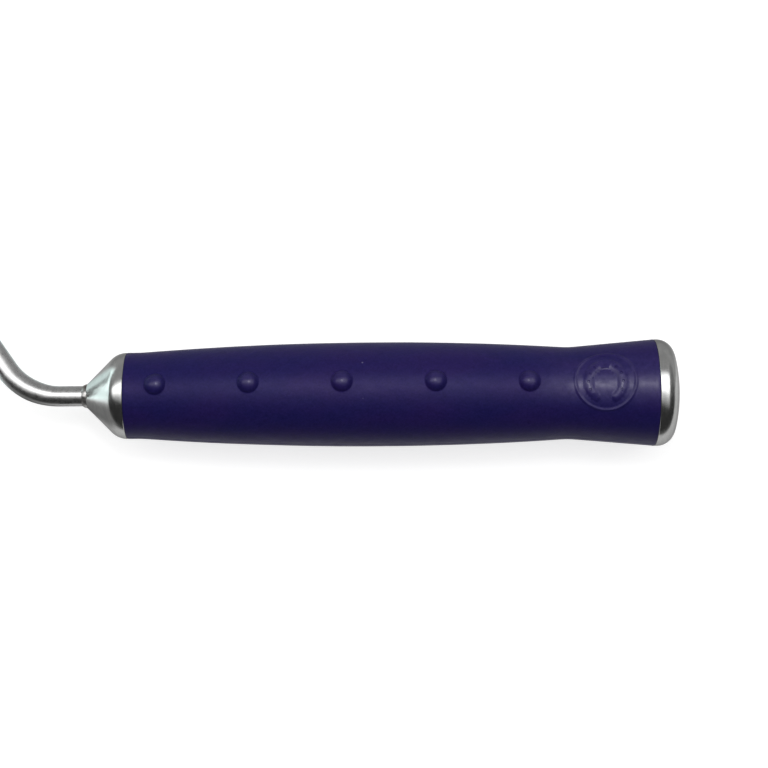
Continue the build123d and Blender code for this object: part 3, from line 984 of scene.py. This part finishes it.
def plain_steel():
    """Mill-finished steel of the hidden tube and pins: drawn lengthwise, slightly dull."""
    s = Shader("mill_steel")
    drawn = s.noise(s.coords((0.15, 3.0, 3.0)), detail=5)
    colour = s.ramp(drawn, (0.3, (0.36, 0.36, 0.36)), (0.7, (0.48, 0.48, 0.475)))
    rough = s.ramp(drawn, (0.3, 0.38), (0.7, 0.52))
    s.set(Base_Color=colour, Metallic=1.0, Roughness=rough, Normal=s.bump(drawn, 0.00003, 0.3))
    return s.material


# ---- materials of the set ----

FLOOR_GREY = (0.45, 0.45, 0.45, 1)
FLOOR_GLOW = 0.74

# the mirrored floor: brightness by distance from the handle's axis, in metres, and by heading, in
# degrees at the ferrule's tip from straight ahead, which is -X, towards +Y
AXIS_BLUR = 0.006
NEAR_LEVEL = 0.66  # on the -Y side
NEAR_CROWN = (0.012, 0.028, 0.80, 0.36)  # on the +Y side: from and to, and its levels there
FAR_FROM, FAR_TO = 0.08, 0.15
FAR_LEVELS = (0.08, 0.32)  # on the -Y side and on the +Y side
WEDGE_OPENS, WEDGE_CLOSES = (-14, -1), (42, 62)
WEDGE_FALLS = (12, 32)
WEDGE_LEVELS = (3.2, 1.8)
WEDGE_NEAR_LEVEL = 1.25
WEDGE_NEAR = (0.07, 0.11)  # from the ferrule's tip, where it changes from that
WEDGE_TINT = (0.84, 1.0, 0.985)
SHADED, SHADED_ENDS = (-75, -45), (-22, -4)  # a darker wedge beside it
SHADED_LEVEL = 0.25


def floor_material():
    """The pale floor that the camera sees, bright enough to turn white away from the shadows."""
    s = Shader("pale_floor")
    s.set(Base_Color=FLOOR_GREY, Roughness=0.9, Specular_IOR_Level=0.0)
    s.set(Emission_Color=(1.0, 1.0, 1.0, 1), Emission_Strength=FLOOR_GLOW)
    return s.material


def mirrored_floor_material():
    """How bright the table is where the metal mirrors it: palest in a wedge that opens beyond the hook."""
    s = Shader("mirrored_floor")
    place = s.node("ShaderNodeTexCoord").outputs["Object"]
    x, y, _ = s.node("ShaderNodeSeparateXYZ", {"Vector": place}).outputs
    ahead = s.math("SUBTRACT", nose_x, x)
    across = s.math("SUBTRACT", y, axis_y)
    heading = s.math("ARCTAN2", across, ahead)

    def by_heading(degrees, at_low=0.0, at_high=1.0):
        """A smooth change between two headings."""
        return s.between(heading, radians(degrees[0]), radians(degrees[1]), at_low, at_high)

    crown_side = s.between(across, -AXIS_BLUR, AXIS_BLUR)
    distance = s.math("ABSOLUTE", across)
    near = s.blend(crown_side, NEAR_LEVEL, s.between(distance, *NEAR_CROWN))
    level = s.blend(s.between(distance, FAR_FROM, FAR_TO), near, s.blend(crown_side, *FAR_LEVELS))
    wedge = s.math("MULTIPLY", by_heading(WEDGE_OPENS), by_heading(WEDGE_CLOSES, 1.0, 0.0))
    away = s.math("SQRT", s.math("ADD", s.math("MULTIPLY", ahead, ahead), s.math("MULTIPLY", across, across)))
    brightness = by_heading(WEDGE_FALLS, *WEDGE_LEVELS)
    brightness = s.blend(s.between(away, *WEDGE_NEAR), WEDGE_NEAR_LEVEL, brightness)
    shaded = s.math("MULTIPLY", by_heading(SHADED), by_heading(SHADED_ENDS, 1.0, 0.0))
    level = s.blend(shaded, level, SHADED_LEVEL)
    level = s.blend(wedge, level, brightness)
    tint = s.mix(wedge, (1.0, 1.0, 1.0), WEDGE_TINT)
    s.set(Base_Color=(0, 0, 0, 1), Specular_IOR_Level=0.0, Emission_Color=tint, Emission_Strength=level)
    return s.material


# ---- pieces put together ----


def place_pieces():
    """Makes the pieces, gives them their materials and puts them in the place of their CAD nodes."""
    hook, weld, ferrule = make_hook(), make_weld(), make_ferrule()
    grip, cap = make_grip(), make_cap()
    turned = turned_steel()
    for piece, node, slot, material in (
        (hook, "hook_shank", "forged_steel", rod_steel()),
        (weld, "neck_weld", "weld", weld_steel()),
        (ferrule, "front_ferrule", "turned_steel", turned),
        (grip, "rubber_grip", "grip_rubber", rubber()),
        (cap, "rear_cap", "turned_steel", turned),
    ):
        piece.data.materials.clear()
        piece.data.materials.append(material)
        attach(piece, "root")
        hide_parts(node)
    hidden = plain_steel()
    for node in ("core_tube", "front_lock_pin", "rear_lock_pin"):
        for material_slot in frame["nodes"][node].material_slots:
            material_slot.material = hidden


# ---- floor, light and camera ----

FLOOR_HALF = 3.0
FLOOR_HEIGHT, MIRRORED_HEIGHT = -0.0001, -0.0002  # both just clear of the tool, in metres

# the overhead strip light's brightness across its width, by degrees from straight up towards +Y
STRIP = [(-27, 0.0), (-14, 0.16), (0, 0.39), (11, 1.0), (32, 1.0), (46, 0.05)]
STRIP_STRENGTH = 2.8
STRIP_MIDDLE = 20.0  # degrees from straight up
STRIP_SPREAD = 0.4  # how much wider it is beyond the cap, and narrower beyond the hook
STRIP_ENDS = (-0.93, 0.80)  # as parts of the sky's radius, beyond the hook and beyond the cap
STRIP_END_FADE = 0.1
DARK_WALL, PALE_WALL = 0.045, 0.25  # on the -Y side and on the +Y side
WALL_EDGES = (-0.35, 0.5)  # between which the one turns into the other

# the lamp and the camera: places in metres
LAMP_SIZE, LAMP_POWER = 0.12, 0.6  # metres and watts
LAMP_X = 0.045
LAMP_ASIDE, LAMP_ABOVE = 0.19, 0.53  # of the handle's axis
SENSOR, LENS = 36.0, 89.53  # millimetres
CAMERA_PAST_NOSE, CAMERA_ASIDE, CAMERA_ABOVE = 0.0818, 0.00283, 0.525  # of the ferrule's tip
CAMERA_TURN = -0.36  # degrees
CAMERA_REACH = (0.05, 20)


def flat_sheet(name, half, height, material):
    """A square sheet of the set, level and centred under the tool."""
    mesh = bpy.data.meshes.new(name)
    corners = [(-half, -half, 0), (half, -half, 0), (half, half, 0), (-half, half, 0)]
    mesh.from_pydata(corners, [], [(0, 1, 2, 3)])
    mesh.materials.append(material)
    sheet = bpy.data.objects.new(name, mesh)
    sheet.location.z = height
    bpy.context.collection.objects.link(sheet)
    return sheet


def make_floor():
    """The pale floor, and a sheet in its place that only reflections see."""
    floor = flat_sheet("floor", FLOOR_HALF, FLOOR_HEIGHT, floor_material())
    floor.visible_glossy = False
    mirrored = flat_sheet("mirrored_floor", FLOOR_HALF, MIRRORED_HEIGHT, mirrored_floor_material())
    for ray in ("camera", "diffuse", "shadow", "transmission", "volume_scatter"):
        setattr(mirrored, f"visible_{ray}", False)


def make_world():
    """A soft strip light above the tool and along it, in a studio with one dark and one pale side."""
    world = bpy.data.worlds.new("studio")
    bpy.context.scene.world = world
    world.use_nodes = True
    world.node_tree.nodes.clear()
    n = Nodes(world.node_tree)
    direction = n.node("ShaderNodeTexCoord").outputs["Generated"]
    x, y, z = n.node("ShaderNodeSeparateXYZ", {"Vector": direction}).outputs
    off_middle = n.math("SUBTRACT", n.math("ARCTAN2", y, z), radians(STRIP_MIDDLE))
    off_middle = n.math("MULTIPLY", off_middle, n.math("MULTIPLY_ADD", x, -STRIP_SPREAD, 1.0))
    tilt = n.math("MULTIPLY_ADD", off_middle, 1 / pi, 0.5 + STRIP_MIDDLE / 180)
    strip = n.ramp(tilt, *[((degrees + 90) / 180, level) for degrees, level in STRIP])
    low_end, high_end = STRIP_ENDS
    starts = n.between(x, low_end, low_end + STRIP_END_FADE)
    stops = n.between(x, high_end - STRIP_END_FADE, high_end, 1.0, 0.0)
    strength = n.math("MULTIPLY", starts, n.math("MULTIPLY", stops, STRIP_STRENGTH))
    strip = n.math("MULTIPLY", strip, strength)
    wall = n.between(y, *WALL_EDGES, DARK_WALL, PALE_WALL)
    lit = n.node("ShaderNodeBackground", {"Strength": n.math("ADD", strip, wall)})
    white = n.node("ShaderNodeBackground", {"Color": (1.0, 1.0, 1.0, 1), "Strength": 1.0})
    seen = n.node("ShaderNodeLightPath").outputs["Is Camera Ray"]
    choice = n.node("ShaderNodeMixShader", {0: seen, 1: lit.outputs[0], 2: white.outputs[0]})
    n.node("ShaderNodeOutputWorld", {"Surface": choice.outputs[0]})


def make_lamp():
    """A small round softbox over the flare of the grip, a little to the +Y side."""
    data = bpy.data.lights.new("lamp", "AREA")
    data.shape = "DISK"
    data.size = LAMP_SIZE
    data.energy = LAMP_POWER
    lamp = bpy.data.objects.new("lamp", data)
    aim = Vector((LAMP_X, axis_y, axis_z))
    lamp.location = (LAMP_X, axis_y + LAMP_ASIDE, axis_z + LAMP_ABOVE)
    lamp.rotation_euler = (aim - lamp.location).to_track_quat("-Z", "Y").to_euler()
    bpy.context.collection.objects.link(lamp)


def make_camera():
    """The camera, straight above the tool, which shows the handle and the start of the hook."""
    data = bpy.data.cameras.new("camera")
    data.sensor_width = SENSOR
    data.lens = LENS
    camera = bpy.data.objects.new("camera", data)
    bpy.context.collection.objects.link(camera)
    camera.location = (nose_x + CAMERA_PAST_NOSE, axis_y + CAMERA_ASIDE, axis_z + CAMERA_ABOVE)
    camera.rotation_euler = (0, 0, radians(CAMERA_TURN))
    data.clip_start, data.clip_end = CAMERA_REACH
    bpy.context.scene.camera = camera


place_pieces()
make_floor()
make_world()
make_lamp()
make_camera()

bpy.context.scene.view_settings.view_transform = "Standard"
bpy.context.scene.view_settings.look = "None"
